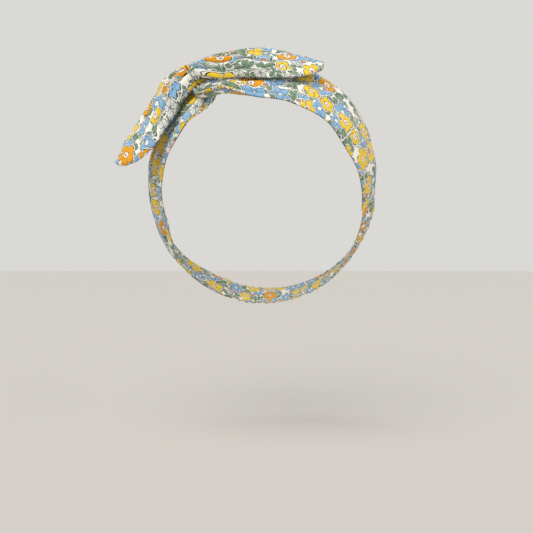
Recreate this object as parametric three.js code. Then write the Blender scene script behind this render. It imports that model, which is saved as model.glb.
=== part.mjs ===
// A knotted headband, as worn. Two interfaced cotton ties hook round each other in a half knot over one
// temple, their free ends lie away from it as two ears, and an elastic in a ruched casing joins their other
// ends behind the head.
// Millimetres, +Z up, -Y towards the face. The origin is the middle of the head that wears it.

import * as THREE from "three";

const degrees = Math.PI / 180;

// The loop: an ellipse round the head, in a plane that leans forward to cross the hairline.
const loopHalfHeight = 92.5;
const loopHalfWidth = 78.3;
const loopLean = 34.4 * degrees;
const loopMiddle = new THREE.Vector3(-1.1, 6, -1.7);
const sideDrop = 8; // how far the loop sags towards the face at each side
const leastFlare = 6 * degrees; // how far the band's back edge leans out, all the way round
const sideFlare = 13 * degrees; // and how much more it leans out at each side
const crownFlare = 7 * degrees; // and how much more over the crown and on the side away from the knot
const knotAngle = -31 * degrees; // from the crown, towards -X

// The ties, which are sewn flat and turned, and the elastic between them.
const tieWidth = 48;
const joinWidth = 31;
const leftLimbLength = 192; // along the loop, from the knot to each join
const rightLimbLength = 172;
const settlingLength = 28; // along a limb, from the knot to where it lies against the head
const narrowingLength = 70; // along a limb, where it tapers to its join
const casingWidth = 28;
const elasticWidth = 24;
const clothThickness = 0.6;
const interfacingThickness = 0.5;
const elasticThickness = 1.2;
const gap = 0.3; // between pieces that lie against each other
const headClearance = 0.4;

// The knot: each tie is gathered into a strand, and turns back round the other's strand.
const knotAcross = -1; // from the loop's line to the middle of the knot, towards the back of the head
const knotLift = 0.4; // how much further off the head the knot is than the limbs
const leftStrandWidth = 13;
const leftStrandThickness = 6.4;
const leftTurnAlong = 4; // where the left tie's turn is centred
const rightStrandWidth = 12;
const rightStrandThickness = 6;
const rightStrandSink = 1.1; // how much closer to the head the right tie's strand is where its limb ends

// The ears: each is a leaf of cloth between the point where it leaves the knot and its tip.
const leftEarTip = new THREE.Vector3(-107.5, -33, 18.5);
const rightEarTip = new THREE.Vector3(40, -44, 86);
const leftEarWidth = 46;
const rightEarWidth = 41;
const earGap = 4.5; // room for an ear to flex where it meets its strand
const cupDepth = 1.5; // how far an ear's edges curl back

const sideways = new THREE.Vector3(1, 0, 0);
const crownward = new THREE.Vector3(0, -Math.sin(loopLean), Math.cos(loopLean));
const faceward = new THREE.Vector3(0, -Math.cos(loopLean), -Math.sin(loopLean));

const ease = THREE.MathUtils.smoothstep;
const mix = THREE.MathUtils.lerp;

class LoopCurve extends THREE.Curve {
  getPoint(t, target = new THREE.Vector3()) {
    const angle = this.angleAt(t);
    return target
      .copy(loopMiddle)
      .addScaledVector(crownward, loopHalfHeight * Math.cos(angle))
      .addScaledVector(sideways, loopHalfWidth * Math.sin(angle))
      .addScaledVector(faceward, sideDrop * Math.sin(angle) ** 2);
  }

  angleAt(t) {
    return knotAngle + 2 * Math.PI * t;
  }
}

const loop = new LoopCurve();
const loopLength = loop.getLength();

// The loop's point and directions at a distance along it from the knot, counted towards +X over the crown.
function loopFrame(along) {
  const distance = (along + loopLength) % loopLength;
  const t = loop.getUtoTmapping(0, distance);
  const sine = Math.sin(loop.angleAt(t));
  const flare = leastFlare + sideFlare * sine ** 2 + crownFlare * ease(sine, -0.5, 0.3);
  const tangent = loop.getTangent(t);
  const straightOut = new THREE.Vector3().crossVectors(faceward, tangent).normalize();
  const straightFront = new THREE.Vector3().crossVectors(tangent, straightOut);
  const lean = (a, b, angle) => a.clone().multiplyScalar(Math.cos(angle)).addScaledVector(b, Math.sin(angle));
  const front = lean(straightFront, straightOut, -flare);
  const out = lean(straightOut, straightFront, flare);
  return { point: loop.getPoint(t), front, out };
}

// A place on the head: along the loop, across it towards the face, and out from it.
function onHead(along, across, out) {
  const frame = loopFrame(along);
  return frame.point.addScaledVector(frame.front, across).addScaledVector(frame.out, out);
}

// Sections are one unit wide and one unit thick. x runs across the piece and y through it.
function ribbonSection(strips) {
  const points = [];
  for (let i = 0; i <= strips; i++) points.push(new THREE.Vector2(i / strips - 0.5, -0.5));
  for (let i = strips; i >= 0; i--) points.push(new THREE.Vector2(i / strips - 0.5, 0.5));
  return new THREE.Shape(points);
}

function roundSection(sides) {
  const points = [];
  for (let i = 0; i < sides; i++) {
    const angle = (2 * Math.PI * i) / sides;
    points.push(new THREE.Vector2(0.5 * Math.cos(angle), 0.5 * Math.sin(angle)));
  }
  return new THREE.Shape(points);
}

function casingSection(holeWidth, holeHeight) {
  const shape = ribbonSection(1);
  const [x, y] = [holeWidth / 2, holeHeight / 2];
  const corners = [[-x, -y], [-x, y], [x, y], [x, -y]];
  shape.holes.push(new THREE.Path(corners.map(([cx, cy]) => new THREE.Vector2(cx, cy))));
  return shape;
}

// Reverses the triangles of a solid whose bend has turned it inside out.
function faceOutwards(geometry) {
  const position = geometry.attributes.position;
  const corner = (i) => new THREE.Vector3().fromBufferAttribute(position, i);
  let volume = 0;
  for (let i = 0; i < position.count; i += 3) {
    volume += corner(i).dot(corner(i + 1).cross(corner(i + 2)));
  }
  if (volume > 0) return;
  for (let i = 0; i < position.count; i += 3) {
    const [second, third] = [corner(i + 1), corner(i + 2)];
    position.setXYZ(i + 1, third.x, third.y, third.z);
    position.setXYZ(i + 2, second.x, second.y, second.z);
  }
}

// Extrudes a section along a length of one, then moves every point to place(length, x, y).
function bentSolid(section, steps, place) {
  const geometry = new THREE.ExtrudeGeometry(section, { depth: 1, steps, bevelEnabled: false });
  const position = geometry.attributes.position;
  for (let i = 0; i < position.count; i++) {
    const point = place(position.getZ(i), position.getX(i), position.getY(i));
    position.setXYZ(i, point.x, point.y, point.z);
  }
  faceOutwards(geometry);
  geometry.computeVertexNormals();
  return geometry;
}

const printedCotton = { color: 0xdcd3a8, roughness: 0.9, metalness: 0 };
const plainInterfacing = { color: 0xf0eee6, roughness: 0.95, metalness: 0 };
const whiteElastic = { color: 0xf4f3ef, roughness: 0.8, metalness: 0 };
const sewingThread = { color: 0xece6cf, roughness: 0.7, metalness: 0 };

function piece(name, look, geometry) {
  const mesh = new THREE.Mesh(geometry, new THREE.MeshStandardMaterial(look));
  mesh.name = name;
  return mesh;
}

// The three layers of a tie, from the head outwards: where each one's middle is, and how thick it is.
const layers = [];
let layerBottom = headClearance;
for (const [name, thickness, inset, look] of [
  ["lining", clothThickness, 0, printedCotton],
  ["interfacing", interfacingThickness, 1.5, plainInterfacing],
  ["face", clothThickness, 0, printedCotton],
]) {
  layers.push({ name, thickness, inset, look, middle: layerBottom + thickness / 2 });
  layerBottom += thickness + gap;
}
const layersMiddle = layers[1].middle;

// Where each limb leaves the knot, and the room that its strand takes there.
const strandBase = headClearance + knotLift;
const leftStrandLow = strandBase + leftStrandThickness / 2;
const rightStrandMiddle = strandBase + leftStrandThickness + gap + rightStrandThickness / 2;
const leftStrandHigh = rightStrandMiddle + rightStrandThickness / 2 + gap + leftStrandThickness / 2;
const rightStrandAcross = leftStrandWidth / 2 + 1.3 + rightStrandWidth / 2;
const leftExit = {
  along: 2,
  limbLength: leftLimbLength,
  width: 27,
  across: 8.5,
  lift: leftStrandLow - layersMiddle,
  slack: 0.8,
  fanLength: 26, // how soon the gathered cloth opens out
  straightening: 90, // along the limb, from the knot to where it follows the loop's line
};
const rightExit = {
  along: 10,
  limbLength: rightLimbLength,
  width: 12,
  across: knotAcross + rightStrandAcross,
  lift: rightStrandMiddle - rightStrandSink - layersMiddle,
  slack: 0.5,
  fanLength: 15,
  straightening: 90,
};

// Where each ear leaves its strand, and how wide it is there.
const leftEarStart = { along: -12.5, across: -1.5, out: leftStrandHigh + 0.5, width: 24 };
const rightEarStart = { along: 16, across: -7, out: leftStrandHigh + 2, width: 12 };

// A limb's width, and its distance off its plain course on the head, at a distance from the knot.
function limbSize(exit, distance) {
  const gone = distance - exit.along;
  const narrowing = ease(distance, exit.limbLength - narrowingLength, exit.limbLength);
  const flatWidth = mix(tieWidth, joinWidth, narrowing);
  const opened = 1 - Math.exp(-((Math.max(gone, 0) / exit.fanLength) ** 1.3));
  const standOff = exit.slack * Math.sin((Math.PI * gone) / (exit.limbLength - exit.along));
  return {
    width: mix(exit.width, flatWidth, opened),
    across: exit.across * (1 - ease(gone, 0, exit.straightening)),
    lift: standOff + exit.lift * (1 - ease(gone, 0, settlingLength)),
  };
}

// side is 1 for the limb that runs over the crown and -1 for the one that runs down from the knot.
function limbLayer(side, exit, layer) {
  const start = exit.along + gap / 2 + layer.inset;
  const end = exit.limbLength - gap / 2 - layer.inset;
  return bentSolid(ribbonSection(4), 46, (length, x, y) => {
    const distance = mix(start, end, length);
    const size = limbSize(exit, distance);
    const across = size.across + x * (size.width - 2 * layer.inset);
    return onHead(side * distance, across, size.lift + layer.middle + y * layer.thickness);
  });
}

// The left tie's strand runs in against the head, turns up round the right tie's strand and comes back on
// top. It is wide where the limb meets it and where its ear leaves it, and tight in between.
function leftBight() {
  const turn = (leftStrandHigh - leftStrandLow) / 2;
  const hook = new THREE.Path()
    .moveTo(-leftExit.along + gap / 2, leftStrandLow)
    .lineTo(0, leftStrandLow)
    .absarc(leftTurnAlong, rightStrandMiddle, turn, -Math.PI / 2, Math.PI / 2, false)
    .lineTo(leftEarStart.along + earGap, leftEarStart.out);
  return bentSolid(roundSection(14), 34, (length, x, y) => {
    const middle = hook.getPointAt(length);
    const heading = hook.getTangentAt(length);
    const along = middle.x - heading.y * y * leftStrandThickness;
    const out = middle.y + heading.x * y * leftStrandThickness;
    const tight = ease(length, 0, 0.2);
    const opened = ease(length, 0.82, 1);
    const across = mix(mix(leftExit.across, knotAcross, tight), leftEarStart.across, opened);
    const width = mix(mix(leftExit.width, leftStrandWidth, tight), leftEarStart.width, opened);
    return onHead(along, across + x * width, out);
  });
}

// The right tie's strand runs in on the face side, turns across inside the left tie's turn and climbs out
// on the crown side.
function rightBight() {
  const corner = rightStrandWidth / 2 + 0.5;
  const innerTurn = (leftStrandHigh - leftStrandLow - leftStrandThickness) / 2;
  const turnAlong = leftTurnAlong + innerTurn - gap - rightStrandWidth / 2 + corner;
  const half = rightStrandAcross - corner;
  const hook = new THREE.Path()
    .moveTo(rightExit.along - gap / 2, rightStrandAcross)
    .lineTo(turnAlong, rightStrandAcross)
    .absarc(turnAlong, half, corner, Math.PI / 2, Math.PI, false)
    .lineTo(turnAlong - corner, -half)
    .absarc(turnAlong, -half, corner, Math.PI, 1.5 * Math.PI, false)
    .lineTo(rightEarStart.along - earGap, rightEarStart.across - knotAcross - 4);
  return bentSolid(roundSection(12), 36, (length, x, y) => {
    const middle = hook.getPointAt(length);
    const heading = hook.getTangentAt(length);
    const along = middle.x - heading.y * x * rightStrandWidth;
    const across = middle.y + heading.x * x * rightStrandWidth;
    const sunk = rightStrandSink * (1 - ease(length, 0, 0.15));
    const climb = (rightEarStart.out - rightStrandMiddle) * ease(length, 0.68, 1);
    return onHead(along, knotAcross + across, rightStrandMiddle - sunk + climb + y * rightStrandThickness);
  });
}

// An ear's centre line leaves its strand and curves over to the tip. side is the direction of its front edge.
function earShape(start, startSide, tip, tipSide, bulge, rootWidth, fullWidth) {
  const control = start.clone().lerp(tip, 0.45).add(bulge);
  const curve = new THREE.QuadraticBezierCurve3(start, control, tip);
  const width = (u) => {
    const swell = mix(rootWidth, fullWidth, ease(u, 0, 0.45));
    const closing = Math.max(0, (u - 0.4) / 0.6);
    return Math.max(5, swell * (1 - closing ** 2.4) ** 0.62);
  };
  const frame = (u) => {
    const tangent = curve.getTangentAt(u);
    const side = startSide.clone().lerp(tipSide, u);
    side.addScaledVector(tangent, -side.dot(tangent)).normalize();
    return { point: curve.getPointAt(u), side, out: new THREE.Vector3().crossVectors(side, tangent) };
  };
  return { width, frame, length: curve.getLength() };
}

// outSign is 1 where the ear's frame already faces away from the head, and -1 where it faces the head.
function earLayer(ear, layer, outSign) {
  return bentSolid(ribbonSection(6), 22, (length, x, y) => {
    const margin = layer.inset / ear.length;
    const u = mix(margin, 1 - margin, length);
    const { point, side, out } = ear.frame(u);
    const across = x * (ear.width(u) - 2 * layer.inset);
    const cup = cupDepth * ((2 * across) / ear.width(0.5)) ** 2;
    const depth = outSign * (layer.middle - layersMiddle + y * layer.thickness - cup);
    return point.addScaledVector(side, across).addScaledVector(out, depth);
  });
}

function leftEar() {
  const start = onHead(leftEarStart.along, leftEarStart.across, leftEarStart.out);
  const startSide = loopFrame(leftEarStart.along).front;
  const tipSide = new THREE.Vector3(0.6, -0.62, -0.5);
  const bulge = new THREE.Vector3(3, -3, -1);
  return earShape(start, startSide, leftEarTip, tipSide, bulge, leftEarStart.width, leftEarWidth);
}

function rightEar() {
  const start = onHead(rightEarStart.along, rightEarStart.across, rightEarStart.out);
  const startSide = loopFrame(rightEarStart.along).front;
  const tipSide = new THREE.Vector3(0, -0.74, -0.67);
  const bulge = new THREE.Vector3(-2, -8, 0.5);
  return earShape(start, startSide, rightEarTip, tipSide, bulge, rightEarStart.width, rightEarWidth);
}

const casingStart = rightLimbLength + gap / 2;
const casingEnd = loopLength - leftLimbLength - gap / 2;
const casingThickness = elasticThickness + 2 * (gap + clothThickness);
const casingMiddle = headClearance + casingThickness / 2;

function alongCasing(section, steps, width, thickness) {
  return bentSolid(section, steps, (length, x, y) =>
    onHead(mix(casingStart, casingEnd, length), x * width, casingMiddle + y * thickness),
  );
}

// A row of stitches across the end of a limb, which holds the casing in it.
function joinStitching(side, exit) {
  const rowLength = casingWidth - 4;
  const threadThickness = 0.6;
  const swing = 0.7;
  const stitches = 7;
  const seamInset = 4;
  const height = layers[2].middle + clothThickness / 2 + gap + threadThickness / 2;
  return bentSolid(roundSection(6), stitches * 6, (length, x, y) => {
    const across = (length - 0.5) * rowLength;
    const weave = swing * Math.sin(2 * Math.PI * stitches * length);
    const distance = exit.limbLength - seamInset + weave + x * threadThickness;
    const lift = limbSize(exit, distance).lift;
    return onHead(side * distance, across, lift + height + y * threadThickness);
  });
}

const headband = new THREE.Group();

for (const [name, side, exit] of [["left", -1, leftExit], ["right", 1, rightExit]]) {
  for (const layer of layers) {
    headband.add(piece(`${name}_limb_${layer.name}`, layer.look, limbLayer(side, exit, layer)));
  }
  headband.add(piece(`${name}_join_stitching`, sewingThread, joinStitching(side, exit)));
}
headband.add(piece("left_knot_bight", printedCotton, leftBight()));
headband.add(piece("right_knot_bight", printedCotton, rightBight()));

for (const [name, ear, outSign] of [["left", leftEar(), -1], ["right", rightEar(), 1]]) {
  for (const layer of layers) {
    headband.add(piece(`${name}_ear_${layer.name}`, layer.look, earLayer(ear, layer, outSign)));
  }
}

const boreWidth = (elasticWidth + 2 * gap) / casingWidth;
const boreHeight = (elasticThickness + 2 * gap) / casingThickness;
const casingTube = alongCasing(casingSection(boreWidth, boreHeight), 44, casingWidth, casingThickness);
headband.add(piece("elastic_casing", printedCotton, casingTube));
const elasticBand = alongCasing(ribbonSection(1), 44, elasticWidth, elasticThickness);
headband.add(piece("elastic_strip", whiteElastic, elasticBand));

export default headband;
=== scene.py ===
"""Looks for the knotted headband: two printed cotton ties, knotted together, and a ruched elastic casing."""

import math

import bpy
import numpy as np
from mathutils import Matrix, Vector


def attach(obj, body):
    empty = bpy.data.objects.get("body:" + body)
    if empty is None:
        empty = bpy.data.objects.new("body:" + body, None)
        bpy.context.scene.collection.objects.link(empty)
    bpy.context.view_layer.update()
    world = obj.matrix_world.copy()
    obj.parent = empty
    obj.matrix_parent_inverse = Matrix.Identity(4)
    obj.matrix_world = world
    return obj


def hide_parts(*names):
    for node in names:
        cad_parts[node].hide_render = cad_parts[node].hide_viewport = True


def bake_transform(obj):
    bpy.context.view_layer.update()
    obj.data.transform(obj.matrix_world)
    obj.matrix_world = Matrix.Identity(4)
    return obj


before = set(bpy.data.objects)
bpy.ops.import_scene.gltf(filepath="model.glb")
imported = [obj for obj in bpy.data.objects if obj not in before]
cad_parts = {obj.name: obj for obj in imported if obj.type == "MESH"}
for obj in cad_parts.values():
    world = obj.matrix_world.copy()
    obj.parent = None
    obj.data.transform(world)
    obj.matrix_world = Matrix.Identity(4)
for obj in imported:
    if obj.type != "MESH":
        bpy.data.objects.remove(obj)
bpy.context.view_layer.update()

# Lengths are in millimetres until a mesh is made.
MM = 0.001
MAP_UNIT = 100.0  # millimetres of cloth to one unit of the cloth map

# The loop round the head, as the CAD part has it.
LOOP_HALF_HEIGHT = 92.5
LOOP_HALF_WIDTH = 78.3
LOOP_LEAN = math.radians(34.4)
LOOP_MIDDLE = np.array([-1.1, 6.0, -1.7])
SIDE_DROP = 8.0  # how far the loop's sides sag towards the face
LEAST_FLARE = math.radians(6)  # how far the band's front edge tips in, to lie on the head
SIDE_FLARE = math.radians(13)  # and how much more at the sides
RIGHT_FLARE = math.radians(7)  # and from the crown to the right
KNOT_ANGLE = math.radians(-31)
SIDEWAYS = np.array([1.0, 0.0, 0.0])
CROWNWARD = np.array([0.0, -math.sin(LOOP_LEAN), math.cos(LOOP_LEAN)])
FACEWARD = np.array([0.0, -math.cos(LOOP_LEAN), -math.sin(LOOP_LEAN)])

# The ties.
TIE_WIDTH = 48.0
LEFT_LIMB = 192.0
RIGHT_LIMB = 172.0
JOIN_WIDTH = 31.0
JOIN_TAPER = (4.0, 74.0)  # where a tie widens from its join
JOIN_OVERLAP = 4.0  # how far each limb runs on over the casing
CLOTH = 0.35
LIMB_MIDDLE = 1.3  # out from the head to the middle of a limb that lies on it
LIMB_HALF_THICKNESS = 1.2
LEFT_PUCKERS = 4.6  # between the puckers along each tie's sewn edges
RIGHT_PUCKERS = 4.4

# The knot: places along the loop from its middle, across towards the front, and out from the head.
KNOT_ACROSS = -1.0
LEFT_EXIT = 2.0  # along, where each limb ends and its turn begins
RIGHT_EXIT = 10.0
LEFT_LOW = 4.0  # out, to the middle of the left tie where it runs in under the knot
LEFT_HIGH = 16.4  # and where it comes back over the knot
LEFT_LOW_ACROSS = 2.0
LEFT_TURN_ALONG = 4.0
KNOT_MIDDLE = (LEFT_LOW + LEFT_HIGH) / 2
RIGHT_ACROSS = 12.5  # from the knot's middle to each run of the right tie through it
RIGHT_CORNER = 6.0
RIGHT_TURN_ALONG = 8.0
ROOT_AFTER_TURN = 2.0  # from the end of a tie's turn to its ear's root
LEFT_SPLIT = -15.0  # from its ear's root to where a tie's limb piece ends and its ear piece starts
RIGHT_SPLIT = -22.0

# The ears: their tips, the direction of their width there, and how they bow from straight.
LEFT_EAR_TIP = np.array([-107.5, -33.0, 18.5])
LEFT_EAR_TIP_SIDE = np.array([0.60, -0.62, -0.50])
LEFT_EAR_BOW = np.array([1.5, -3.0, 0.5])
RIGHT_EAR_TIP = np.array([40.0, -44.0, 86.0])
RIGHT_EAR_TIP_SIDE = np.array([0.0, -0.74, -0.67])
RIGHT_EAR_BOW = np.array([-2.0, -8.0, 0.5])

# The casing, the elastic and the stitches.
CASING_WIDTH = 28.0
CASING_MIDDLE = 2.3  # out from the head, once clear of the limbs
TUCKED = 8.0  # how much of the casing's end is inside each limb
RUCHED = 1.5  # how much longer the casing's cloth is than the elastic that gathers it
ELASTIC_WIDTH = 24.0
STITCH_INSET = 4.5
STITCH_PITCH = 2.6
STITCH_SHARE = (0.08, 0.74)  # where in each pitch its stitch starts and ends
THREAD_RADIUS = 0.24
THREAD_ARCH = 0.34  # how high a stitch rises, from ends that are sunk into the cloth
THREAD_SUNK = 0.12

# The print starts at another place on the lining, and on the casing.
LINING_PRINT = 70.0
CASING_PRINT = 300.0

# How closely things are drawn.
COURSE_STEP = 2.0  # between the points that a path is given by
PATH_STEP = 0.5  # between its points once it is smooth
STEP = 1.2  # between rows of vertices along a tie
CASING_STEP = 0.9
ELASTIC_STEP = 2.0
TIE_COLUMNS = 60  # of vertices across a piece
CASING_COLUMNS = 30
ELASTIC_COLUMNS = 40

rng = np.random.default_rng(7)


def ease(x, low, high):
    t = np.clip((np.asarray(x, float) - low) / (high - low), 0, 1)
    return t * t * (3 - 2 * t)


def mix(a, b, t):
    return a + (b - a) * t


def hump(x, middle, width):
    """1 at the middle, falling smoothly to 0 on both sides."""
    return np.exp(-(((x - middle) / width) ** 2))


def wave(x, length):
    return np.sin(2 * np.pi * x / length)


def rounded(share, power):
    """The half section of a flat thing with round edges: 1 over most of its width, and 0 at its edges."""
    return np.sqrt(np.maximum(0.0, 1 - np.abs(share) ** power))


def unit(v):
    return v / np.linalg.norm(v, axis=-1, keepdims=True)


def distances_along(points):
    return np.concatenate([[0], np.cumsum(np.linalg.norm(np.diff(points, axis=0), axis=1))])


def interpolate(x, known, points):
    """The points at the places x along a line whose own points lie at the known places."""
    return np.stack([np.interp(x, known, points[:, k]) for k in range(3)], axis=-1)


# ---- the loop ----


def loop_point(angle):
    angle = np.asarray(angle)[..., None]
    return (
        LOOP_MIDDLE
        + LOOP_HALF_HEIGHT * np.cos(angle) * CROWNWARD
        + LOOP_HALF_WIDTH * np.sin(angle) * SIDEWAYS
        + SIDE_DROP * np.sin(angle) ** 2 * FACEWARD
    )


loop_angles = KNOT_ANGLE + np.linspace(0, 2 * math.pi, 4001)
loop_distances = distances_along(loop_point(loop_angles))
LOOP_LENGTH = loop_distances[-1]


def loop_frame(along):
    """Point, tangent, front and outward directions at distances along the loop from the knot."""
    angle = np.interp(np.mod(along, LOOP_LENGTH), loop_distances, loop_angles)
    nudge = 1e-4
    tangent = unit(loop_point(angle + nudge) - loop_point(angle - nudge))
    out = unit(np.cross(FACEWARD, tangent))
    front = np.cross(tangent, out)
    side = np.sin(angle)
    flare = LEAST_FLARE + SIDE_FLARE * side**2 + RIGHT_FLARE * ease(side, -0.5, 0.3)
    flare = flare[..., None]
    leaned_front = front * np.cos(flare) - out * np.sin(flare)
    leaned_out = out * np.cos(flare) + front * np.sin(flare)
    return loop_point(angle), tangent, leaned_front, leaned_out


def on_head(along, across, out):
    point, _, front, outward = loop_frame(along)
    return point + np.asarray(across)[..., None] * front + np.asarray(out)[..., None] * outward


# ---- paths that the ties follow ----


class Path:
    """A smooth line through points, with the direction of the cloth's width and its face at each."""

    def __init__(self, points, sides, smoothing=2.5):
        given = distances_along(points)
        self.length = given[-1]
        self.distance = np.linspace(0, self.length, int(self.length / PATH_STEP))
        spread = int(3 * smoothing / PATH_STEP)
        kernel = np.exp(-0.5 * (np.arange(-spread, spread + 1) * PATH_STEP / smoothing) ** 2)
        kernel /= kernel.sum()

        def smooth(values):
            even = interpolate(self.distance, given, values)
            head = 2 * even[0] - even[spread:0:-1]
            tail = 2 * even[-1] - even[-2 : -spread - 2 : -1]
            longer = np.concatenate([head, even, tail])
            return np.stack([np.convolve(longer[:, k], kernel, "valid") for k in range(3)], axis=1)

        self.points = smooth(points)
        tangents = unit(np.gradient(self.points, axis=0))
        sides = smooth(sides)
        sides -= np.sum(sides * tangents, axis=1, keepdims=True) * tangents
        self.sides = unit(sides)
        self.faces = np.cross(self.sides, tangents)

    def at(self, distance):
        points = interpolate(distance, self.distance, self.points)
        sides = interpolate(distance, self.distance, self.sides)
        faces = interpolate(distance, self.distance, self.faces)
        return points, unit(sides), unit(faces)


def arc(centre, radius, start, end, count=24):
    angle = np.linspace(start, end, count)
    return np.stack([centre[0] + radius * np.cos(angle), centre[1] + radius * np.sin(angle)], axis=1)


def bezier(a, b, c, count=60):
    t = np.linspace(0, 1, count)[:, None]
    return (1 - t) ** 2 * a + 2 * t * (1 - t) * b + t**2 * c


def limb_course(distance, length, start, across, lift, slack, spreading):
    """Across and out places of a limb's middle, from the knot (distance start) to its join."""
    settling = 28
    spread = ease(distance, start, start + spreading)
    stand_off = slack * np.sin(np.pi * np.clip((distance - start) / (length - start), 0, 1))
    raised = (lift - LIMB_MIDDLE) * (1 - ease(distance, start, start + settling))
    return across * (1 - spread), LIMB_MIDDLE + stand_off + raised


def tie_path(along, across, out, ear, flip):
    """The path of a tie: along the head, through the knot, then on as its ear."""
    points = on_head(along, across, out)
    _, _, front, outward = loop_frame(along)
    sides = np.cross(unit(np.gradient(points, axis=0)), outward) if flip else front
    tip, tip_side, bow = ear
    control = mix(points[-1], tip, 0.45) + bow
    ear_points = bezier(points[-1], control, tip)[1:]
    ear_sides = mix(sides[-1], tip_side, np.linspace(0, 1, len(ear_points))[:, None])
    path = Path(np.concatenate([points, ear_points]), np.concatenate([sides, ear_sides]))
    path.root = float(distances_along(points)[-1]) + ROOT_AFTER_TURN
    return path


def left_path():
    """In under the knot, up round the right tie and back over it, then out as the ear that hangs down."""
    distance = np.arange(LEFT_LIMB + JOIN_OVERLAP, 0, -COURSE_STEP)
    across, lift = limb_course(
        distance, LEFT_LIMB, LEFT_EXIT, across=LEFT_LOW_ACROSS, lift=LEFT_LOW, slack=0.8, spreading=62
    )
    turn = arc((LEFT_TURN_ALONG, KNOT_MIDDLE), (LEFT_HIGH - LEFT_LOW) / 2, -math.pi / 2, math.pi / 2)
    over = [[0, LEFT_HIGH + 0.2], [-4, LEFT_HIGH], [-8, LEFT_HIGH - 0.6]]
    hook = np.concatenate([turn, over])
    through = np.linspace(0, 1, len(hook))
    hook_across = np.interp(through, [0, 0.4, 0.7, 1], [LEFT_LOW_ACROSS, KNOT_ACROSS, KNOT_ACROSS, 1.5])
    along = np.concatenate([-distance, hook[:, 0]])
    across = np.concatenate([across, hook_across])
    out = np.concatenate([lift, hook[:, 1]])
    ear = (LEFT_EAR_TIP, LEFT_EAR_TIP_SIDE, LEFT_EAR_BOW)
    path = tie_path(along, across, out, ear, flip=False)
    path.exit = LEFT_LIMB + JOIN_OVERLAP - LEFT_EXIT
    return path


def right_path():
    """In through the left tie's turn, back out of it on the crown side, then on as the ear over the crown."""
    distance = np.arange(RIGHT_LIMB + JOIN_OVERLAP, RIGHT_EXIT, -COURSE_STEP)
    across, lift = limb_course(
        distance,
        RIGHT_LIMB,
        RIGHT_EXIT,
        across=KNOT_ACROSS + RIGHT_ACROSS,
        lift=KNOT_MIDDLE - 1.5,
        slack=0.5,
        spreading=90,
    )
    half = RIGHT_ACROSS - RIGHT_CORNER
    first_corner = arc((RIGHT_TURN_ALONG, half), RIGHT_CORNER, math.pi / 2, math.pi, 10)
    second_corner = arc((RIGHT_TURN_ALONG, -half), RIGHT_CORNER, math.pi, 1.5 * math.pi, 10)
    leaving = [[12, 3 - RIGHT_ACROSS], [16, 8 - RIGHT_ACROSS]]
    hook = np.concatenate([first_corner, second_corner, leaving])
    rise = np.concatenate([np.zeros(14), np.linspace(0, 4, 6), [7.0, 9.0]])
    along = np.concatenate([distance, hook[:, 0]])
    across = np.concatenate([across, KNOT_ACROSS + hook[:, 1]])
    out = np.concatenate([lift, KNOT_MIDDLE + rise])
    ear = (RIGHT_EAR_TIP, RIGHT_EAR_TIP_SIDE, RIGHT_EAR_BOW)
    path = tie_path(along, across, out, ear, flip=True)
    path.exit = RIGHT_LIMB + JOIN_OVERLAP - RIGHT_EXIT
    return path


# ---- cloth shells ----


def ripples(along, across, height, lengths, widths, count=7):
    """Soft random waves, as worn cloth has: some long and some short, none repeating."""
    total = np.zeros(np.broadcast(along, across).shape)
    for _ in range(count):
        length = rng.uniform(*lengths)
        width = rng.uniform(*widths) * rng.choice([-1, 1])
        total += np.sin(2 * np.pi * (along / length + across / width) + rng.uniform(0, 2 * np.pi))
    return height * total / math.sqrt(count)


def gathers(distance, share, knot, count, depth, reach, flatter=0.0):
    """Folds that run out of the knot: round tops, tight valleys between, each fading at its own length.

    reach is the least and the greatest of those lengths, and flatter is how much lower they are at the knot.
    Gives their height, and how deep in a valley each point is, from 0 to 1, which the material darkens as
    painted shade.
    """
    places = np.linspace(-1, 1, count + 1)
    lengths = np.interp(share, places, rng.uniform(*reach, count + 1))
    straying = 0.07 * np.sin(distance / 11.0 + 2.2 * share) + 0.03 * np.sin(distance / 4.7 + 5 * share)
    bend = np.interp(share, places, places + rng.uniform(-0.25, 0.25, count + 1) / count)
    scallop = np.abs(np.sin(np.pi * count / 2 * (bend + straying * (1 - share**2)))) ** 0.75
    away = np.abs(distance - knot)
    strength = np.exp(-((away / lengths) ** 1.6)) * (1 - flatter * np.exp(-away / 10))
    strength = strength * (1 - np.abs(share) ** 10)
    return depth * (2 * scallop - 1.25) * strength, (1 - scallop) ** 2 * strength


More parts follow.
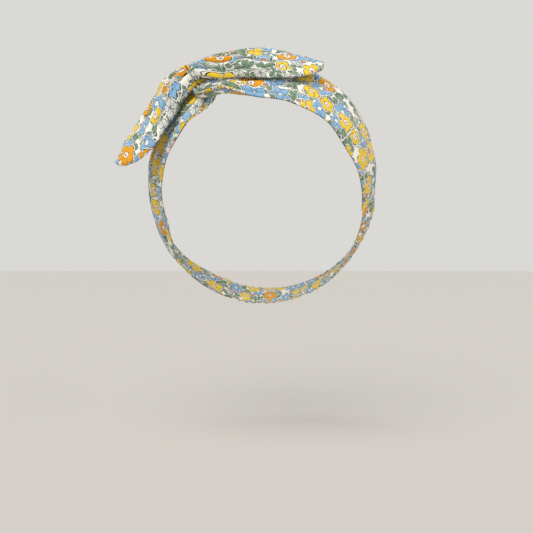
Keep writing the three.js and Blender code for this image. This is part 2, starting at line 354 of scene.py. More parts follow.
class Tie:
    """One tie from its join to its tip. Distances run along its path.

    strand is the width and half thickness that it is gathered to inside the knot. taper is where the ear
    starts to narrow, as a share of its length, and the two powers that shape its point. fan and opening are
    how far from the knot the limb and the ear take to spread. ear_outside is 1 where the limb's outside stays
    outside on the ear, or -1.
    """

    SQUEEZE = (-1.0, 9.0)  # where it is gathered into a strand, from its exit
    THICKENING = (-16.0, 4.0)  # and where it thickens
    THINNING = (-8.0, 16.0)  # where it is thin again, from its root
    OPENING_START = -14.0  # where its ear starts to open, from its root

    def __init__(self, path, strand, exit_width, ear_width, taper, fan, opening, ear_outside):
        self.path = path
        self.strand_width, self.strand_half = strand
        self.exit_width = exit_width
        self.ear_width = ear_width
        self.taper = taper
        self.fan = fan
        self.opening = opening
        self.ear_outside = ear_outside
        self.ear_length = path.length - path.root

    def cloth_half(self, distance):
        """Half the cut cloth's width: straight, narrower at the join and shaped to a point at the tip."""
        start, power, bluntness = self.taper
        along_ear = np.clip((distance - self.path.root) / self.ear_length, 0, 1)
        closing = np.clip((along_ear - start) / (1 - start), 0, 1)
        leaf = np.maximum(0.0, 1 - closing**power) ** bluntness
        join = 1 - (1 - JOIN_WIDTH / TIE_WIDTH) * (1 - ease(distance, *JOIN_TAPER))
        return TIE_WIDTH / 2 * np.minimum(leaf, join)

    def width(self, distance):
        """The width that the gathered cloth takes up."""
        flat = 2 * self.cloth_half(distance)
        from_knot = np.maximum(self.path.exit - distance, 0)
        limb = mix(self.exit_width, flat, 1 - np.exp(-((from_knot / self.fan) ** 1.3)))
        squeezed = ease(distance - self.path.exit, *self.SQUEEZE)
        strand = mix(self.exit_width, self.strand_width, squeezed)
        from_opening = np.maximum(distance - self.path.root - self.OPENING_START, 0)
        opened = 1 - np.exp(-((from_opening / self.opening) ** 1.4))
        ear = mix(strand, self.ear_width, opened) * flat / TIE_WIDTH
        return np.where(distance < self.path.exit, np.minimum(limb, flat), ear)

    def half_thickness(self, distance):
        thick = ease(distance - self.path.exit, *self.THICKENING)
        thin = ease(distance - self.path.root, *self.THINNING)
        return mix(LIMB_HALF_THICKNESS, self.strand_half, thick * (1 - thin))


def across_shares(count):
    """Shares across the cloth from -1 to 1, closer together towards its edges."""
    turn = np.linspace(0, np.pi, count)
    crowding = 0.35
    shares = mix(2 * turn / np.pi - 1, -np.cos(turn), crowding)
    return shares / shares[-1]


def flat_ring(count):
    """A ring round a flat tube: shares across it, and 1 over its outside or -1 over its inside."""
    share = across_shares(count)
    ring = np.concatenate([share, share[-2:0:-1]])
    sides = np.concatenate([np.ones(count), -np.ones(count - 2)])
    return ring[None, :], sides[None, :]


class Shell:
    """A tie's two panels, face and lining, sewn to each other along both edges."""

    TURNED_OVER = 14.0  # how far on from its exit the tie's other side becomes its outside

    def __init__(self, tie, end, details):
        self.tie = tie
        self.distance = np.linspace(0, end, int(end / STEP))
        self.share = across_shares(TIE_COLUMNS)
        d = self.distance[:, None]
        a = self.share[None, :]
        self.across = a * tie.cloth_half(self.distance)[:, None]
        lateral, self.lift, self.crease = details(tie, d, a, self.across)
        points, sides, self.faces = tie.path.at(self.distance)
        x = a * tie.width(self.distance)[:, None] / 2 + lateral
        self.points = points[:, None] + x[..., None] * sides[:, None]
        self.puff = rounded(a, 8) * tie.half_thickness(self.distance)[:, None]

    def surface(self, side):
        """Points of the outside of one panel: side is 1 for the path's own face, and -1 for the other."""
        return self.points + (self.lift + side * self.puff)[..., None] * self.faces[:, None]

    def panel(self, side, first, last):
        """A panel's rings of points between two distances, with its map of the cloth, its edges, and how deep
        in a crease each point is, which sets the painted shade; only the side that faces out gets it.
        """
        rows = slice(*np.searchsorted(self.distance, (first, last)))
        distance = self.distance[rows]
        outside = self.surface(side)[rows]
        cloth = self.puff[rows] * CLOTH / self.tie.half_thickness(distance)[:, None]
        inside = outside - (side * cloth)[..., None] * self.faces[rows][:, None]
        order = np.arange(len(self.share))[::side]
        back = order[-2:0:-1]
        ring = np.concatenate([order, back])
        grid = np.concatenate([outside[:, order], inside[:, back]], axis=1)
        across = self.across[rows][:, ring]
        along = np.broadcast_to(distance[:, None], across.shape)
        uv = np.stack([along, side * across + (0.0 if side > 0 else LINING_PRINT)], axis=-1)
        rim = np.broadcast_to(np.abs(self.share[ring])[None, :], across.shape)
        turned_over = distance >= self.tie.path.exit + self.TURNED_OVER
        outward = np.where(turned_over, self.tie.ear_outside * side, side)
        crease = np.where(outward[:, None] > 0, self.crease[rows][:, ring], 0.0)
        return grid, uv, rim, crease


def new_object(name, vertices, faces, material):
    """An object of smooth faces, with vertices in millimetres."""
    mesh = bpy.data.meshes.new(name)
    obj = bpy.data.objects.new(name, mesh)
    mesh.from_pydata((np.asarray(vertices) * MM).tolist(), [], faces)
    mesh.polygons.foreach_set("use_smooth", [True] * len(faces))
    mesh.materials.append(material)
    bpy.context.scene.collection.objects.link(obj)
    return obj


def mesh_from_grid(name, grid, uv, rim, crease, material):
    """A closed tube of quads from rings of points, with flat ends and a map of the cloth."""
    rows, columns = grid.shape[:2]
    corners = []
    for i in range(rows - 1):
        for j in range(columns):
            k = (j + 1) % columns
            corners.append(((i, j), (i, k), (i + 1, k), (i + 1, j)))
    corners.append(tuple((0, j) for j in range(columns))[::-1])
    corners.append(tuple((rows - 1, j) for j in range(columns)))
    faces = [tuple(i * columns + j for i, j in corner) for corner in corners]
    obj = new_object(name, grid.reshape(-1, 3), faces, material)
    mesh = obj.data
    layer = mesh.uv_layers.new(name="cloth")
    flat = np.array([uv[i, j] for corner in corners for i, j in corner]) / MAP_UNIT
    layer.data.foreach_set("uv", flat.astype(np.float32).ravel())
    # rim places the painted shade along the edges, and crease sets how much painted shade each vertex gets.
    for key, values in (("rim", rim), ("crease", crease)):
        attribute = mesh.attributes.new(key, "FLOAT", "POINT")
        attribute.data.foreach_set("value", values.astype(np.float32).ravel())
    for end in (mesh.polygons[-1], mesh.polygons[-2]):
        end.use_smooth = False
    mesh.update()
    return obj


# ---- how worn cloth shapes each tie ----

# d is the distance along a tie, and a the place across it, from -1 to 1. 1 is the face side along the left
# tie and on the right ear, but the crown side on the right limb, as that tie turns back in the knot. across
# is a in millimetres of flat cloth. Details are how far each point moves across and out, and how deep in a
# crease it is, which sets the painted shade there.

FINE_RIPPLES = {"height": 0.35, "lengths": (24, 60), "widths": (16, 45)}


def seam_puckers(d, a, pitch):
    """How the sewn edges draw in and lift at each pucker: moves across and out."""
    return 0.25 * wave(d, pitch) * a**7, 0.16 * wave(d, pitch) * np.abs(a) ** 6


def tie_folds(tie, d, a, turned, limb_gathers, ear_gathers):
    """The folds that run out of the knot along the limb and the ear, and how deep in their creases each point
    is, which sets the painted shade there.
    """
    limb_folds, limb_creases = gathers(d, a, **limb_gathers)
    ear_folds, ear_creases = gathers(d, a, **ear_gathers)
    folds = mix(limb_folds, tie.ear_outside * ear_folds, turned)
    return folds, mix(limb_creases, ear_creases, turned)


def crowned_limb(path, d, a, height):
    along = ease(d, 0, 30) * (1 - ease(d, path.exit - 30, path.exit))
    return height * (1 - a**2) * along


def cupped_ear(path, d, a, depth):
    return depth * a**2 * ease(d, path.root, path.root + 15)


def left_details(tie, d, a, across):
    path = tie.path
    face_side = (1 + a) / 2
    crown_side = (1 - a) / 2

    # A pressed crease runs along the limb, with fuller cloth beside it.
    along_crease = ease(d, 20, 60) * (1 - ease(d, 120, 175))
    pressed = hump(across, 13, 2.2) * along_crease
    fuller = 2.2 * hump(across, -2, 11) * along_crease

    # The limb's crown side stands off the head, and its face side is pulled straight towards the knot.
    stand_off = 3.5 * crown_side * ease(d, 0, 50) * (1 - ease(d, 150, 190))
    pulled = ease(d, path.exit - 100, path.exit - 50) * (1 - ease(d, path.exit - 10, path.exit + 5))
    taut = 5.0 * face_side * pulled
    straightened = 3.96 * face_side * hump(d, path.exit - 9, 10)

    turned = ease(d, path.exit + 8, path.exit + 20)
    limb_gathers = {"knot": path.exit + 4, "count": 4, "depth": 2.2, "reach": (28, 62)}
    ear_gathers = {"knot": path.root - 4, "count": 4, "depth": 2.9, "reach": (20, 52)}
    folds, creases = tie_folds(tie, d, a, turned, limb_gathers, ear_gathers)
    wander = ripples(d, across, **FINE_RIPPLES)
    drawn_in, puckers = seam_puckers(d, a, LEFT_PUCKERS)

    # Past its turn the tie's own outside faces the head, so the ear's shape is the other way round.
    at_root = hump(d, path.root - 1, 24)
    full_root = 3.5 * at_root * (1 - a**2 + crown_side)
    cup = cupped_ear(path, d, a, 2.0)
    off_limb = 12 * face_side * hump(d, path.root + 10, 20)

    limb = crowned_limb(path, d, a, 1.6) - 2.4 * pressed + fuller + stand_off + taut
    lift = limb + cup + folds + wander + puckers - full_root
    lateral = drawn_in + straightened - 8 * at_root * crown_side - off_limb
    # The creases and the pressed crease set the painted shade there.
    return lateral, lift, creases + 0.5 * pressed


def right_details(tie, d, a, across):
    path = tie.path
    turned = ease(d, path.exit + 4, path.exit + 16)
    limb_gathers = {"knot": path.exit, "count": 5, "depth": 2.5, "reach": (26, 62), "flatter": 0.5}
    ear_gathers = {"knot": path.root - 6, "count": 4, "depth": 2.2, "reach": (22, 56)}
    folds, creases = tie_folds(tie, d, a, turned, limb_gathers, ear_gathers)
    wander = ripples(d, across, **FINE_RIPPLES)
    drawn_in, puckers = seam_puckers(d, a, RIGHT_PUCKERS)

    # The ear spreads forward over the knot as it leaves, and drapes over the run below it.
    spreading = hump(d, path.root - 2, 13) * ease(d, path.root - 14, path.root - 6) * (9 + 3 * a)
    draped = 1.2 * hump(d, path.root - 4, 7) * hump(a, 0.2, 0.6)

    shape = crowned_limb(path, d, a, 1.8) + cupped_ear(path, d, a, -3.0)
    # The creases set the painted shade there.
    return drawn_in + spreading, shape + folds + wander + puckers + draped, creases


# ---- materials ----


def linear(*rgb):
    """A colour given as it looks on a screen, 0 to 255, as the linear one that shaders take."""
    return tuple(((c / 255 + 0.055) / 1.055) ** 2.4 for c in rgb) + (1,)


WHITE = linear(252, 249, 240)
YELLOW = linear(253, 213, 60)
ORANGE = linear(247, 168, 18)
ORANGE_INK = linear(120, 80, 30)
BLUE = linear(142, 187, 222)
GREEN = linear(126, 153, 126)
PINK = linear(199, 158, 146)
PALE = linear(222, 227, 221)
INK = linear(38, 41, 37)

# Colours that darken the cloth where they lie. SEAM_SHADE, STITCH_SHADE and CREASE_SHADE are painted shade:
# where each edge rolls under, in the groove along the stitch line, and in creases and pucker valleys.
# WORN_SHADE darkens the cloth at random, after the crumple noise.
SEAM_SHADE = linear(150, 145, 130)
STITCH_SHADE = linear(120, 112, 98)
CREASE_SHADE = linear(105, 98, 88)
WORN_SHADE = linear(226, 220, 205)

YARN_PITCH = 0.42
PRINT_SCALE = 1.32


class Nodes:
    """Short names for the shader nodes that a procedural material is made of."""

    def __init__(self, name):
        self.material = bpy.data.materials.new(name)
        self.material.use_nodes = True
        self.tree = self.material.node_tree
        self.tree.nodes.clear()

    def node(self, kind, **settings):
        made = self.tree.nodes.new(kind)
        for key, value in settings.items():
            setattr(made, key, value)
        return made

    def put(self, socket, value):
        if isinstance(value, bpy.types.NodeSocket):
            self.tree.links.new(value, socket)
        else:
            socket.default_value = value

    def math(self, operation, *values, clamp=False):
        made = self.node("ShaderNodeMath", operation=operation, use_clamp=clamp)
        for socket, value in zip(made.inputs, values):
            self.put(socket, value)
        return made.outputs[0]

    def vector(self, operation, *values):
        made = self.node("ShaderNodeVectorMath", operation=operation)
        for socket, value in zip(made.inputs, values):
            self.put(socket, value)
        return made.outputs[0]

    def scale(self, value, factor):
        made = self.node("ShaderNodeVectorMath", operation="SCALE")
        self.put(made.inputs[0], value)
        made.inputs["Scale"].default_value = factor
        return made.outputs[0]

    def mix(self, factor, a, b, blend="MIX"):
        made = self.node("ShaderNodeMix", data_type="RGBA", blend_type=blend)
        self.put(made.inputs[0], factor)
        self.put(made.inputs[6], a)
        self.put(made.inputs[7], b)
        return made.outputs[2]

    def split(self, value):
        made = self.node("ShaderNodeSeparateXYZ")
        self.put(made.inputs[0], value)
        return made.outputs[0], made.outputs[1], made.outputs[2]

    def wave(self, value, length):
        return self.math("SINE", self.math("MULTIPLY", value, 2 * math.pi / length))

    def inside(self, distance, softness=0.05):
        """1 where distance is above 0, with a thin soft edge."""
        return self.math("MULTIPLY_ADD", distance, 1 / softness, 0.5, clamp=True)

    def cloth_map(self, one=1.0):
        """Places on the flat cloth, in units of so many millimetres."""
        return self.scale(self.node("ShaderNodeUVMap", uv_map="cloth").outputs[0], MAP_UNIT / one)

    def attribute(self, name):
        return self.node("ShaderNodeAttribute", attribute_name=name).outputs["Fac"]

    def noise(self, place, scale, detail, roughness=0.5):
        made = self.node("ShaderNodeTexNoise", noise_dimensions="2D")
        self.put(made.inputs["Vector"], place)
        made.inputs["Scale"].default_value = scale
        made.inputs["Detail"].default_value = detail
        made.inputs["Roughness"].default_value = roughness
        return made

    def surface(self, colour, roughness, specular=0.5, height=None, strength=0.0, distance=0.0):
        """The material's shader, with bumps where a height is given."""
        shader = self.node("ShaderNodeBsdfPrincipled")
        self.put(shader.inputs["Base Color"], colour)
        self.put(shader.inputs["Roughness"], roughness)
        shader.inputs["Specular IOR Level"].default_value = specular
        if height is not None:
            bump = self.node("ShaderNodeBump")
            bump.inputs["Strength"].default_value = strength
            bump.inputs["Distance"].default_value = distance
            self.put(bump.inputs["Height"], height)
            self.put(shader.inputs["Normal"], bump.outputs[0])
        self.put(self.node("ShaderNodeOutputMaterial").inputs[0], shader.outputs[0])
        return shader


class Motif:
    """One printed motif in each cell of a jittered grid: its polar place, and three random numbers."""

    def __init__(self, nodes, cloth, pitch, offset, jitter):
        n = self.n = nodes
        cells = n.node("ShaderNodeTexVoronoi", voronoi_dimensions="2D", feature="F1")
        walls = n.node("ShaderNodeTexVoronoi", voronoi_dimensions="2D", feature="DISTANCE_TO_EDGE")
        moved = n.vector("ADD", cloth, offset)
        for texture in (cells, walls):
            texture.inputs["Scale"].default_value = 1 / pitch
            texture.inputs["Randomness"].default_value = jitter
            n.put(texture.inputs["Vector"], moved)
        local = n.vector("SUBTRACT", moved, cells.outputs["Position"])
        x, y, _ = n.split(local)
        clear_of_walls = 0.35
        self.room = n.math("MULTIPLY_ADD", walls.outputs["Distance"], pitch, -clear_of_walls)
        self.random = n.split(cells.outputs["Color"])
        self.radius = n.math("SQRT", n.math("ADD", n.math("MULTIPLY", x, x), n.math("MULTIPLY", y, y)))
        self.angle = n.math("MULTIPLY_ADD", self.random[0], 2 * math.pi, n.math("ARCTAN2", y, x))

    def chosen(self, least):
        """1 in the cells whose second random number is above the least."""
        return self.n.math("GREATER_THAN", self.random[1], least)

    def petals(self, count, radius, shape, spread=0.3):
        """How far a point is inside a ring of petals, from a line between two, and from a petal's middle.

        shape(t) is the petals' radius as a share, for t from 0 at a petal's middle to 1 at the line.
        """
        n = self.n
        sector = math.pi / count
        t = n.math("DIVIDE", n.math("PINGPONG", self.angle, sector), sector)
        size = n.math("MULTIPLY_ADD", self.random[2], radius * spread, radius * (1 - spread))
        inside = n.math("MULTIPLY_ADD", size, shape(t), n.math("MULTIPLY", self.radius, -1.0))
        from_line = n.math("MULTIPLY", self.radius, n.math("MULTIPLY_ADD", t, -sector, sector))
        from_middle = n.math("MULTIPLY", self.radius, n.math("MULTIPLY", t, sector))
        return n.math("MINIMUM", inside, self.room), from_line, from_middle


def print_motif(n, colour, mask, inside, fill, line=0.42, margin=0.5):
    """Lays a motif over the print: bare cloth for a margin round it, an ink line, and its colour within."""
    if margin:
        cleared = n.math("MULTIPLY", mask, n.inside(n.math("ADD", inside, margin)))
        colour = n.mix(cleared, colour, WHITE)
    drawn = n.math("MULTIPLY", mask, n.inside(inside))
    filled = n.math("MULTIPLY", mask, n.inside(n.math("SUBTRACT", inside, line)))
    return n.mix(filled, n.mix(drawn, colour, INK), fill)


def stroke(n, from_line, width, strength):
    """A thin line of some strength, from 0 to 1."""
    return n.math("MULTIPLY", n.math("LESS_THAN", from_line, width), strength)


def dipping(n, dip, power):
    """Petals whose radius dips towards the line between them, as petals() takes it."""
    return lambda t: n.math("MULTIPLY_ADD", n.math("POWER", t, power), -dip, 1.0)


def flower_centre(n, flower, fill, radius):
    return print_motif(n, fill, 1.0, n.math("SUBTRACT", radius, flower.radius), WHITE, line=0.25, margin=0)


def print_leaves(n, cloth, colour, offset, pitch, radius):
    """Sprigs of three pointed leaves, each with its vein."""
    leaf = Motif(n, cloth, pitch, offset, jitter=0.6)
    pointed = lambda t: n.math("POWER", n.math("SUBTRACT", 1.0, t), 0.62)
    inside, _, from_vein = leaf.petals(3, radius, pointed)
    fill = n.mix(stroke(n, from_vein, 0.13, 0.7), GREEN, INK)
    return print_motif(n, colour, leaf.chosen(0.14), inside, fill, line=0.35, margin=0.4)


def print_small_flowers(n, cloth, colour):
    """Small pale flowers, drawn more than coloured."""
    small = Motif(n, cloth, pitch=11.0, offset=(77.0, 12.0, 0), jitter=0.7)
    inside, from_line, from_middle = small.petals(5, 4.2, dipping(n, dip=0.4, power=2.6))
    drawn = n.math("MAXIMUM", stroke(n, from_line, 0.2, 1.0), stroke(n, from_middle, 0.1, 0.6))
    fill = n.mix(n.math("MULTIPLY", drawn, 0.75), PALE, INK)
    return print_motif(n, colour, small.chosen(0.4), inside, fill, line=0.3, margin=0.3)


def print_blue_flowers(n, cloth, colour):
    """Blue flowers with pointed petals."""
    blue = Motif(n, cloth, pitch=14.0, offset=(19.0, 61.0, 0), jitter=0.6)
    inside, from_line, _ = blue.petals(5, 7.2, dipping(n, dip=0.45, power=1.2))
    fill = n.mix(stroke(n, from_line, 0.14, 0.75), BLUE, INK)
    fill = flower_centre(n, blue, fill, 1.5)
    return print_motif(n, colour, blue.chosen(0.15), inside, fill)


def print_gold_flowers(n, cloth, colour):
    """Yellow flowers with round petals and pink middles, and some orange ones."""
    gold = Motif(n, cloth, pitch=13.5, offset=(5.0, 37.0, 0), jitter=0.6)
    inside, from_line, _ = gold.petals(5, 7.0, dipping(n, dip=0.42, power=3.0), spread=0.4)
    hue = n.mix(n.math("GREATER_THAN", gold.random[1], 0.71), YELLOW, ORANGE)
    fill = n.mix(stroke(n, from_line, 0.16, 0.9), hue, n.mix(0.5, hue, ORANGE_INK))
    fill = flower_centre(n, gold, fill, 1.9)
    fill = n.mix(n.inside(n.math("SUBTRACT", 0.8, gold.radius)), fill, PINK)
    return print_motif(n, colour, gold.chosen(0.25), inside, fill)


def print_buds(n, cloth, colour):
    """Round buds."""
    bud = Motif(n, cloth, pitch=9.5, offset=(63.0, 90.0, 0), jitter=0.9)
    radius = n.math("MULTIPLY_ADD", bud.random[2], 0.8, 1.3)
    ball = n.math("SUBTRACT", radius, bud.radius)
    return print_motif(n, colour, bud.chosen(0.7), ball, PINK, line=0.28, margin=0.4)


def cloth_shader(n, colour):
    """Lawn's fine weave, soft crumples, and the seams along the cloth's edges, with painted shade where each
    edge rolls under, along the groove of its stitching and in creases.
    """
    x, y, _ = n.split(n.cloth_map(YARN_PITCH))
    weave = n.math("MULTIPLY", n.wave(x, 1.0), n.wave(y, 1.0))
    crumple = n.noise(n.cloth_map(), scale=0.16, detail=3.0, roughness=0.55).outputs[0]

    rim = n.attribute("rim")
    rolled_edge_shade = n.math("MULTIPLY", n.math("SUBTRACT", rim, 0.955, clamp=True), 22.0, clamp=True)
    from_stitches = n.math("ABSOLUTE", n.math("SUBTRACT", rim, 0.93))
    stitch_groove_shade = n.math("SUBTRACT", 1.0, n.math("MULTIPLY", from_stitches, 110.0), clamp=True)
    painted_crease_shade = n.math("MULTIPLY", n.attribute("crease"), 0.9, clamp=True)
    worn = n.math("MULTIPLY_ADD", crumple, 0.16, -0.02, clamp=True)
    # Painted shade: darker where each edge rolls under, in the groove along the stitch line, and in the
    # creases. The crumple noise then darkens the cloth at random.
    colour = n.mix(n.math("MULTIPLY", rolled_edge_shade, 0.35), colour, SEAM_SHADE, "MULTIPLY")
    colour = n.mix(n.math("MULTIPLY", stitch_groove_shade, 0.4), colour, STITCH_SHADE, "MULTIPLY")
    colour = n.mix(painted_crease_shade, colour, CREASE_SHADE, "MULTIPLY")
    colour = n.mix(worn, colour, WORN_SHADE, "MULTIPLY")

    height = n.math("ADD", n.math("MULTIPLY", weave, 0.02), n.math("MULTIPLY", crumple, 1.1))
    roughness = n.math("MULTIPLY_ADD", weave, 0.04, 0.82)
    shader = n.surface(colour, roughness, specular=0.25, height=height, strength=0.6, distance=0.0012)
    shader.inputs["Sheen Weight"].default_value = 0.12
    shader.inputs["Sheen Roughness"].default_value = 0.5
    return n.material


def printed_cotton():
    n = Nodes("printed_cotton")
    cloth = n.cloth_map(PRINT_SCALE)
    wobble = n.noise(cloth, scale=0.45, detail=1.0).outputs["Color"]
    drawn_by_hand = n.scale(n.vector("SUBTRACT", wobble, (0.5, 0.5, 0.5)), 1.5)
    cloth = n.vector("ADD", cloth, drawn_by_hand)
    colour = print_leaves(n, cloth, WHITE, offset=(3.1, 8.2, 0), pitch=10.0, radius=6.4)
    colour = print_leaves(n, cloth, colour, offset=(41.7, 23.9, 0), pitch=9.0, radius=5.4)
    colour = print_leaves(n, cloth, colour, offset=(88.0, 51.0, 0), pitch=11.5, radius=7.2)
    colour = print_small_flowers(n, cloth, colour)
    colour = print_blue_flowers(n, cloth, colour)
    colour = print_gold_flowers(n, cloth, colour)
    colour = print_buds(n, cloth, colour)
    return cloth_shader(n, colour)


def braided_elastic():
    """White braid: yarns crossing on the slant, between the cords that run along it."""
    n = Nodes("braided_elastic")
    x, y, _ = n.split(n.cloth_map())
    cord_pitch = 1.26
    yarn_pitch = 0.9
    cords = n.math("ABSOLUTE", n.wave(y, 2 * cord_pitch))
    one_way = n.wave(n.math("ADD", x, y), yarn_pitch)
    other_way = n.wave(n.math("SUBTRACT", x, y), yarn_pitch)
    yarns = n.math("MULTIPLY", one_way, other_way)
    # Painted shade: the white braid is darker in the grooves between its cords.
    colour = n.mix(cords, linear(214, 210, 202), linear(244, 243, 239))
    height = n.math("ADD", n.math("MULTIPLY", yarns, 0.5), cords)
    roughness = n.math("MULTIPLY_ADD", yarns, 0.05, 0.8)
    n.surface(colour, roughness, specular=0.3, height=height, strength=0.6, distance=0.0003)
    return n.material


def sewing_thread():
    """Thread of a few twisted plies."""
    n = Nodes("sewing_thread")
    place = n.scale(n.node("ShaderNodeTexCoord").outputs["Object"], 1 / MM)
    x, y, z = n.split(place)
    slanted = n.math("ADD", n.math("ADD", x, y), z)
    ply_pitch = 0.7
    plies = n.math("ABSOLUTE", n.wave(slanted, ply_pitch))
    # Painted shade: the thread is darker in the grooves between its plies.
    colour = n.mix(plies, linear(206, 198, 176), linear(240, 235, 219))
    roughness = n.math("MULTIPLY_ADD", plies, -0.15, 0.75)
    n.surface(colour, roughness, specular=0.3, height=plies, strength=0.5, distance=0.0002)
    return n.material


def pale_paper():
    n = Nodes("pale_floor")
    n.surface(linear(226, 222, 216), roughness=0.9)
    return n.material


# ---- the pieces ----


def make_tie(side, tie, details, split):
    """A tie's face and lining, each in two: its limb with its turn in the knot, and its ear.

    They part where the other tie hides it, and the limb runs on for two rows inside the ear.
    """
    short_of_tip = 0.4
    end = tie.path.length - short_of_tip
    shell = Shell(tie, end, details)
    made = {}
    for panel, other_panel, outward in (("face", "lining", 1), ("lining", "face", -1)):
        limb = shell.panel(outward, 0, split + 2 * STEP)
        made[f"{side}_limb_{panel}"] = mesh_from_grid(f"{side}_limb_{panel}_cloth", *limb, cotton)
        ear_panel = panel if tie.ear_outside > 0 else other_panel
        ear = shell.panel(outward, split, end + STEP)
        made[f"{side}_ear_{ear_panel}"] = mesh_from_grid(f"{side}_ear_{ear_panel}_cloth", *ear, cotton)
    return shell, made


CASING_START = RIGHT_LIMB + JOIN_OVERLAP
CASING_END = LOOP_LENGTH - LEFT_LIMB - JOIN_OVERLAP


def clear_of_limbs(s):
    """0 where the casing is inside a limb's end, and 1 where it is clear of both."""
    rising = 9.0
    return ease(s, CASING_START, CASING_START + rising) * (1 - ease(s, CASING_END - rising, CASING_END))


def loop_grid(along, across, out):
    """Rows of points at distances along the loop, each across and out from it."""
    point, _, front, outward = loop_frame(along)
    return point[:, None] + across[..., None] * front[:, None] + out[..., None] * outward[:, None]


def casing():
    """The casing's tube of cloth, ruched by the elastic: deeper on its outside than next to the head."""
    start = CASING_START - TUCKED
    end = CASING_END + TUCKED
    along = np.linspace(start, end, int((end - start) / CASING_STEP))
    s = along[:, None]
    a, sides = flat_ring(CASING_COLUMNS)
    clear = clear_of_limbs(s)
    pressed_half, ruched_half = 0.5, 1.7
    outside_depth, inside_depth = 1.3, 0.5
    large_pitch, small_pitch = 6.3, 3.7
    slant = 0.9 * np.sin(3.1 * a + s / 31) + 0.7 * np.sin(s / 13 + 2 * sides)
    large_puckers = np.abs(np.sin(np.pi * s / large_pitch + slant)) - 0.6
    small_puckers = np.abs(np.sin(np.pi * s / small_pitch - 1.3 * slant + sides)) - 0.6
    depth = np.where(sides > 0, outside_depth, inside_depth)
    half = mix(pressed_half, ruched_half, clear) + clear * depth * (large_puckers + 0.5 * small_puckers)
    out = mix(LIMB_MIDDLE, CASING_MIDDLE, clear) + sides * rounded(a, 6) * half
    scalloped = 0.7 * clear * np.sin(2 * np.pi * s / 5.9 + 3 * a)
    across = a * (CASING_WIDTH / 2 + scalloped)
    flat_across = a * CASING_WIDTH / 2 * sides + np.where(sides > 0, 0, LINING_PRINT)
    flat_along = CASING_PRINT + RUCHED * s
    uv = np.stack(np.broadcast_arrays(flat_along, flat_across), axis=-1)
    rim = np.broadcast_to(np.abs(a) * 0.9, across.shape)
    # Painted shade in the valleys between the outside's puckers, passed on as the crease attribute.
    valleys = np.where(sides > 0, np.clip(-large_puckers, 0, 0.6) * clear, 0.0)
    grid = loop_grid(along, across, out)
    return mesh_from_grid("elastic_casing_cloth", grid, uv, rim, valleys, cotton)


def elastic():
    """The braided elastic inside the casing: flat, with a fine rib along each of its cords."""
    inset = 1.0  # from the casing's ends
    along = np.arange(CASING_START - TUCKED + inset, CASING_END + TUCKED - inset, ELASTIC_STEP)
    s = along[:, None]
    a, sides = flat_ring(ELASTIC_COLUMNS)
    half_thickness, rib_height, ribs_each_side = 0.36, 0.06, 9.5
    ribs = rib_height * np.cos(2 * np.pi * ribs_each_side * a)
    half = rounded(a, 12) * (half_thickness + ribs)
    out = mix(LIMB_MIDDLE, CASING_MIDDLE, clear_of_limbs(s)) + sides * half
    across = np.broadcast_to(a * ELASTIC_WIDTH / 2, out.shape)
    uv = np.stack(np.broadcast_arrays(s, across * sides), axis=-1)
    plain = np.zeros(out.shape)
    grid = loop_grid(along, across, out)
    return mesh_from_grid("elastic_strip_braid", grid, uv, plain, plain, braid)


def join_stitching(name, shell):
    """A row of short stitches across a limb's end, which holds the casing in it."""
    row = int(np.searchsorted(shell.distance, STITCH_INSET))
    line = shell.surface(1)[row]
    away = shell.faces[row]
    place = distances_along(line)
    bare_ends = 5.0  # how much of the line has no stitches, both ends together
    count = int((place[-1] - bare_ends) / STITCH_PITCH)
    first = (place[-1] - count * STITCH_PITCH) / 2
    rings = 9
    sides = 8
    turn = np.linspace(0, 2 * np.pi, sides, endpoint=False)
    arched = np.sin(np.linspace(0, np.pi, rings))
    height = THREAD_ARCH * arched - THREAD_SUNK
    radius = THREAD_RADIUS * mix(0.35, 1.0, arched)
    stitch = np.linspace(*STITCH_SHARE, rings)
    vertices = []
    faces = []
    for i in range(count):
        middle = interpolate(first + (i + stitch) * STITCH_PITCH, place, line)
        middle += height[:, None] * away
        across = np.cross(unit(np.gradient(middle, axis=0)), away)
        round_it = np.cos(turn)[None, :, None] * across[:, None] + np.sin(turn)[None, :, None] * away
        base = len(vertices)
        vertices += (middle[:, None] + radius[:, None, None] * round_it).reshape(-1, 3).tolist()
        for here in range(base, base + (rings - 1) * sides, sides):
            for c in range(sides):
                k = (c + 1) % sides
                faces.append((here + c, here + k, here + sides + k, here + sides + c))
        last = base + (rings - 1) * sides
        faces.append(tuple(base + c for c in range(sides))[::-1])
        faces.append(tuple(last + c for c in range(sides)))
    return new_object(name, vertices, faces, thread)


cotton = printed_cotton()
braid = braided_elastic()
thread = sewing_thread()

left = Tie(
    left_path(),
    strand=(13.0, 3.2),
    exit_width=33.0,
    ear_width=48.0,
    taper=(0.26, 1.7, 0.68),
    fan=26,
    opening=14,
    ear_outside=-1,
)
right = Tie(
    right_path(),
    strand=(12.0, 3.0),
    exit_width=12.0,
    ear_width=41.0,
    taper=(0.42, 1.8, 0.62),
    fan=15,
    opening=34,
    ear_outside=1,
)
left_split = left.path.root + LEFT_SPLIT
right_split = right.path.root + RIGHT_SPLIT
left_shell, left_panels = make_tie("left", left, left_details, left_split)
right_shell, right_panels = make_tie("right", right, right_details, right_split)
panels = {**left_panels, **right_panels}
casing_cloth = casing()
elastic_braid = elastic()
left_stitches = join_stitching("left_join_thread", left_shell)
right_stitches = join_stitching("right_join_thread", right_shell)


# ---- which CAD parts are hidden, and what the pieces ride on ----


def cut_area(shell, first, last):
    """The flat area of one panel of a tie between two distances, in square metres."""
    distance = np.linspace(first, last, 400)
    return float(np.mean(2 * shell.tie.cloth_half(distance))) * (last - first) * MM**2


def declare_panel(shell, first, last):
    area = cut_area(shell, first, last)


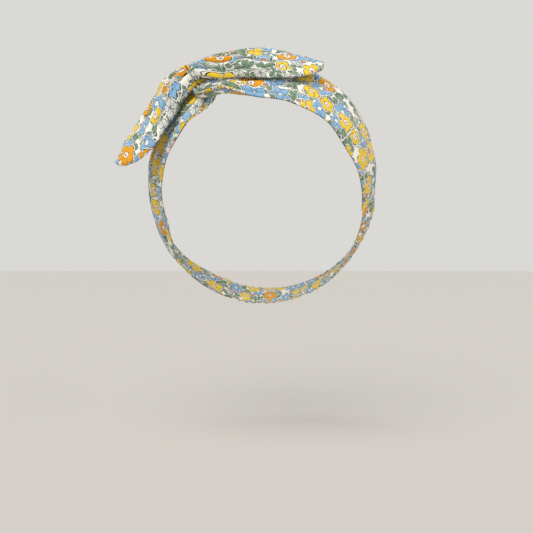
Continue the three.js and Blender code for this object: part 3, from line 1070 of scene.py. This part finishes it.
def place_tie(side, shell, split):
    """The limb rides on the band, and the ear stays where it is, its transform baked into its mesh."""
    for panel, slot in (("face", "printed_cotton"), ("lining", "lining_cotton")):
        limb = panels[f"{side}_limb_{panel}"]
        ear = panels[f"{side}_ear_{panel}"]
        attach(limb, "band")
        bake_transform(ear)
        declare_panel(shell, 0, split)
        declare_panel(shell, split, shell.tie.path.length)


for side in ("left", "right"):
    limb_face = f"{side}_limb_face"
    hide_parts(limb_face, f"{side}_limb_interfacing", f"{side}_knot_bight")
    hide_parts(f"{side}_limb_lining")
    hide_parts(f"{side}_ear_face", f"{side}_ear_interfacing")
    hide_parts(f"{side}_ear_lining")
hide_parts("elastic_casing")
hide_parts("elastic_strip")
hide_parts("left_join_stitching")
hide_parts("right_join_stitching")

place_tie("left", left_shell, left_split)
place_tie("right", right_shell, right_split)

# The casing and the elastic have their transforms baked into their meshes, and ride on no body.
for piece, slot in ((casing_cloth, "printed_cotton"), (elastic_braid, "elastic")):
    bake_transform(piece)
for piece in (left_stitches, right_stitches):
    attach(piece, "band")


# ---- stage, light and camera, in metres ----

WALL = linear(218, 217, 213)
AMBIENT = 0.5
FLOOR_HEIGHT = -0.205
FLOOR_RADIUS = 20.0
FLOOR_SIDES = 96
CAMERA_PLACE = (0, -0.445, -0.055)
CAMERA_LENS = 38.97
CAMERA_SENSOR = 36


def studio_world():
    """A plain pale wall, which lights the scene less strongly than it shows."""
    world = bpy.data.worlds.new("studio")
    bpy.context.scene.world = world
    world.use_nodes = True
    nodes = world.node_tree.nodes
    link = world.node_tree.links.new
    backdrop = nodes["Background"]
    ambient = nodes.new("ShaderNodeBackground")
    for background, strength in ((backdrop, 1.0), (ambient, AMBIENT)):
        background.inputs[0].default_value = WALL
        background.inputs[1].default_value = strength
    seen = nodes.new("ShaderNodeLightPath")
    either = nodes.new("ShaderNodeMixShader")
    link(seen.outputs["Is Camera Ray"], either.inputs[0])
    link(ambient.outputs[0], either.inputs[1])
    link(backdrop.outputs[0], either.inputs[2])
    link(either.outputs[0], nodes["World Output"].inputs[0])


def pale_floor():
    """A round floor wide enough that its edge is level on the horizon from every side."""
    mesh = bpy.data.meshes.new("floor")
    turn = np.linspace(0, 2 * np.pi, FLOOR_SIDES, endpoint=False)
    edge = [(FLOOR_RADIUS * math.cos(t), FLOOR_RADIUS * math.sin(t), 0) for t in turn]
    mesh.from_pydata(edge, [], [tuple(range(FLOOR_SIDES))])
    mesh.materials.append(pale_paper())
    floor = bpy.data.objects.new("floor", mesh)
    floor.location = (0, 0, FLOOR_HEIGHT)
    bpy.context.scene.collection.objects.link(floor)
    return floor


def soft_sun(name, towards, strength, spread):
    data = bpy.data.lights.new(name, "SUN")
    data.energy = strength
    data.angle = math.radians(spread)
    lamp = bpy.data.objects.new(name, data)
    lamp.rotation_euler = (-Vector(towards)).to_track_quat("-Z", "Y").to_euler()
    bpy.context.scene.collection.objects.link(lamp)


def level_camera():
    data = bpy.data.cameras.new("camera")
    data.lens = CAMERA_LENS
    data.sensor_width = CAMERA_SENSOR
    camera = bpy.data.objects.new("camera", data)
    camera.location = CAMERA_PLACE
    camera.rotation_euler = (math.radians(90), 0, 0)
    bpy.context.scene.collection.objects.link(camera)
    bpy.context.scene.camera = camera


studio_world()
bpy.context.scene.view_settings.view_transform = "Standard"
pale_floor()
soft_sun("window", towards=(-0.35, -1.1, 1.1), strength=2.15, spread=50)
soft_sun("room", towards=(1.2, -0.8, 0.3), strength=0.7, spread=60)
level_camera()
